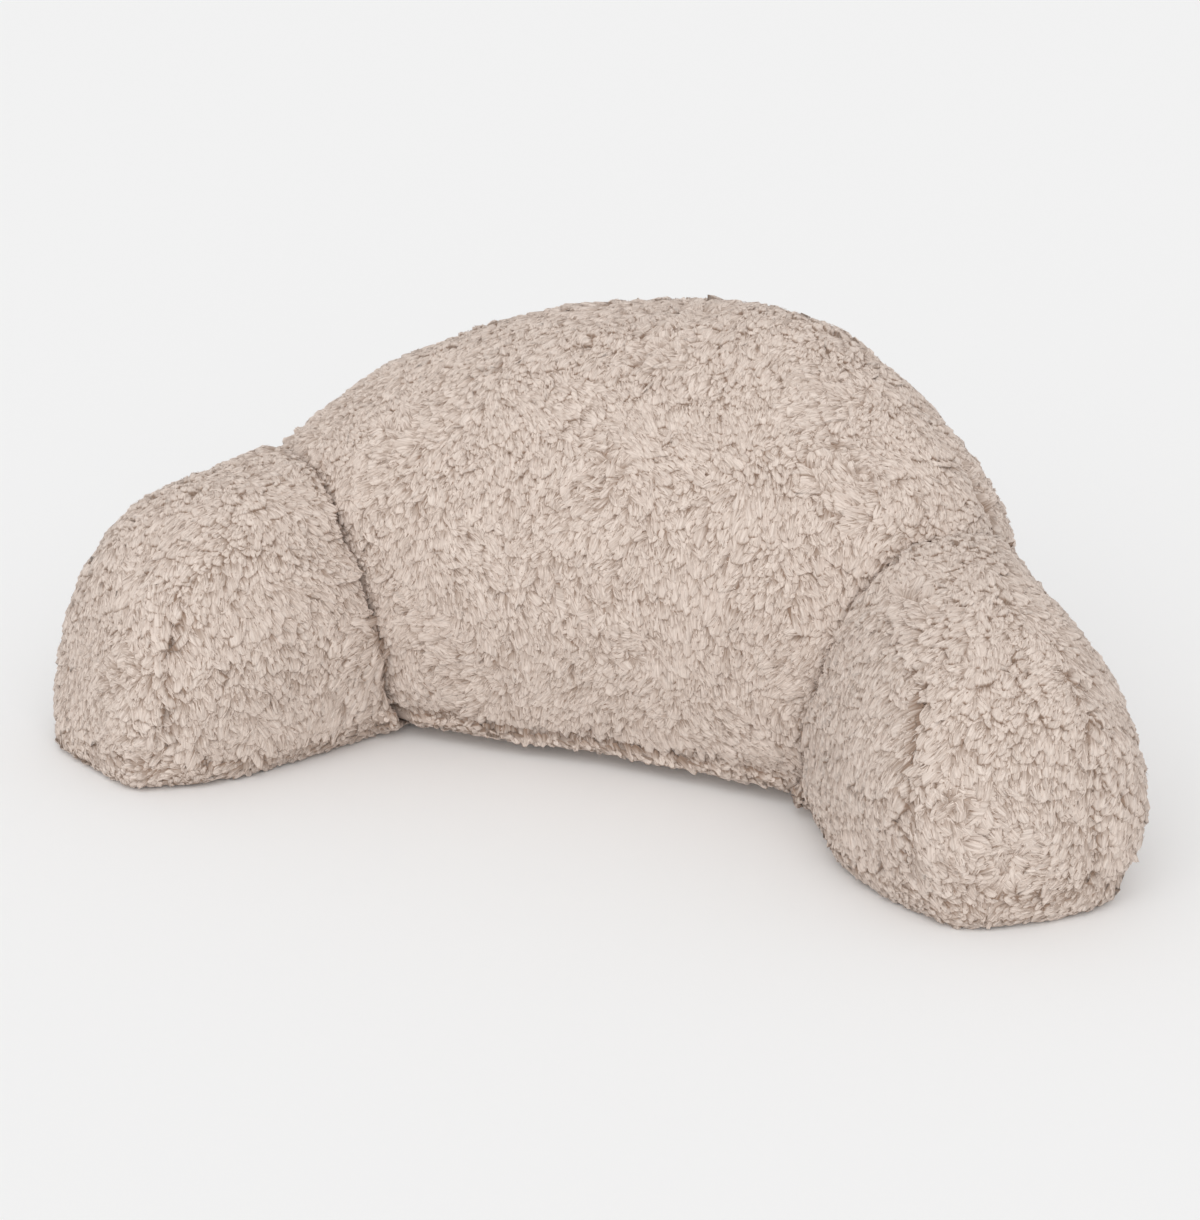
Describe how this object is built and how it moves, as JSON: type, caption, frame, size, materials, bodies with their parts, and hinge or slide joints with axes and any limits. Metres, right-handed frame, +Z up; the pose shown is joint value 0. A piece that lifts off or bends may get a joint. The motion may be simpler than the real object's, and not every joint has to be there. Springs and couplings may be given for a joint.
{
  "type": "backrest cushion with arms",
  "caption": "Filled backrest cushion in curly pile fleece: a leaning half-dome back with splayed short arms that wrap round the sitter, standing on a flat base.",
  "frame": {"origin": "on the floor, under the middle of the cushion's bounding box", "axes": "+X along the width towards the right arm as seen from the front, +Y to the rear, +Z up"},
  "size_m": [0.8192, 0.4, 0.312],
  "materials": {
    "fleece": "curly beige pile fleece, matt"
  },
  "bodies": {
    "root": {"back": "fleece", "arm_right": "fleece", "arm_left": "fleece"}
  },
  "joints": []
}
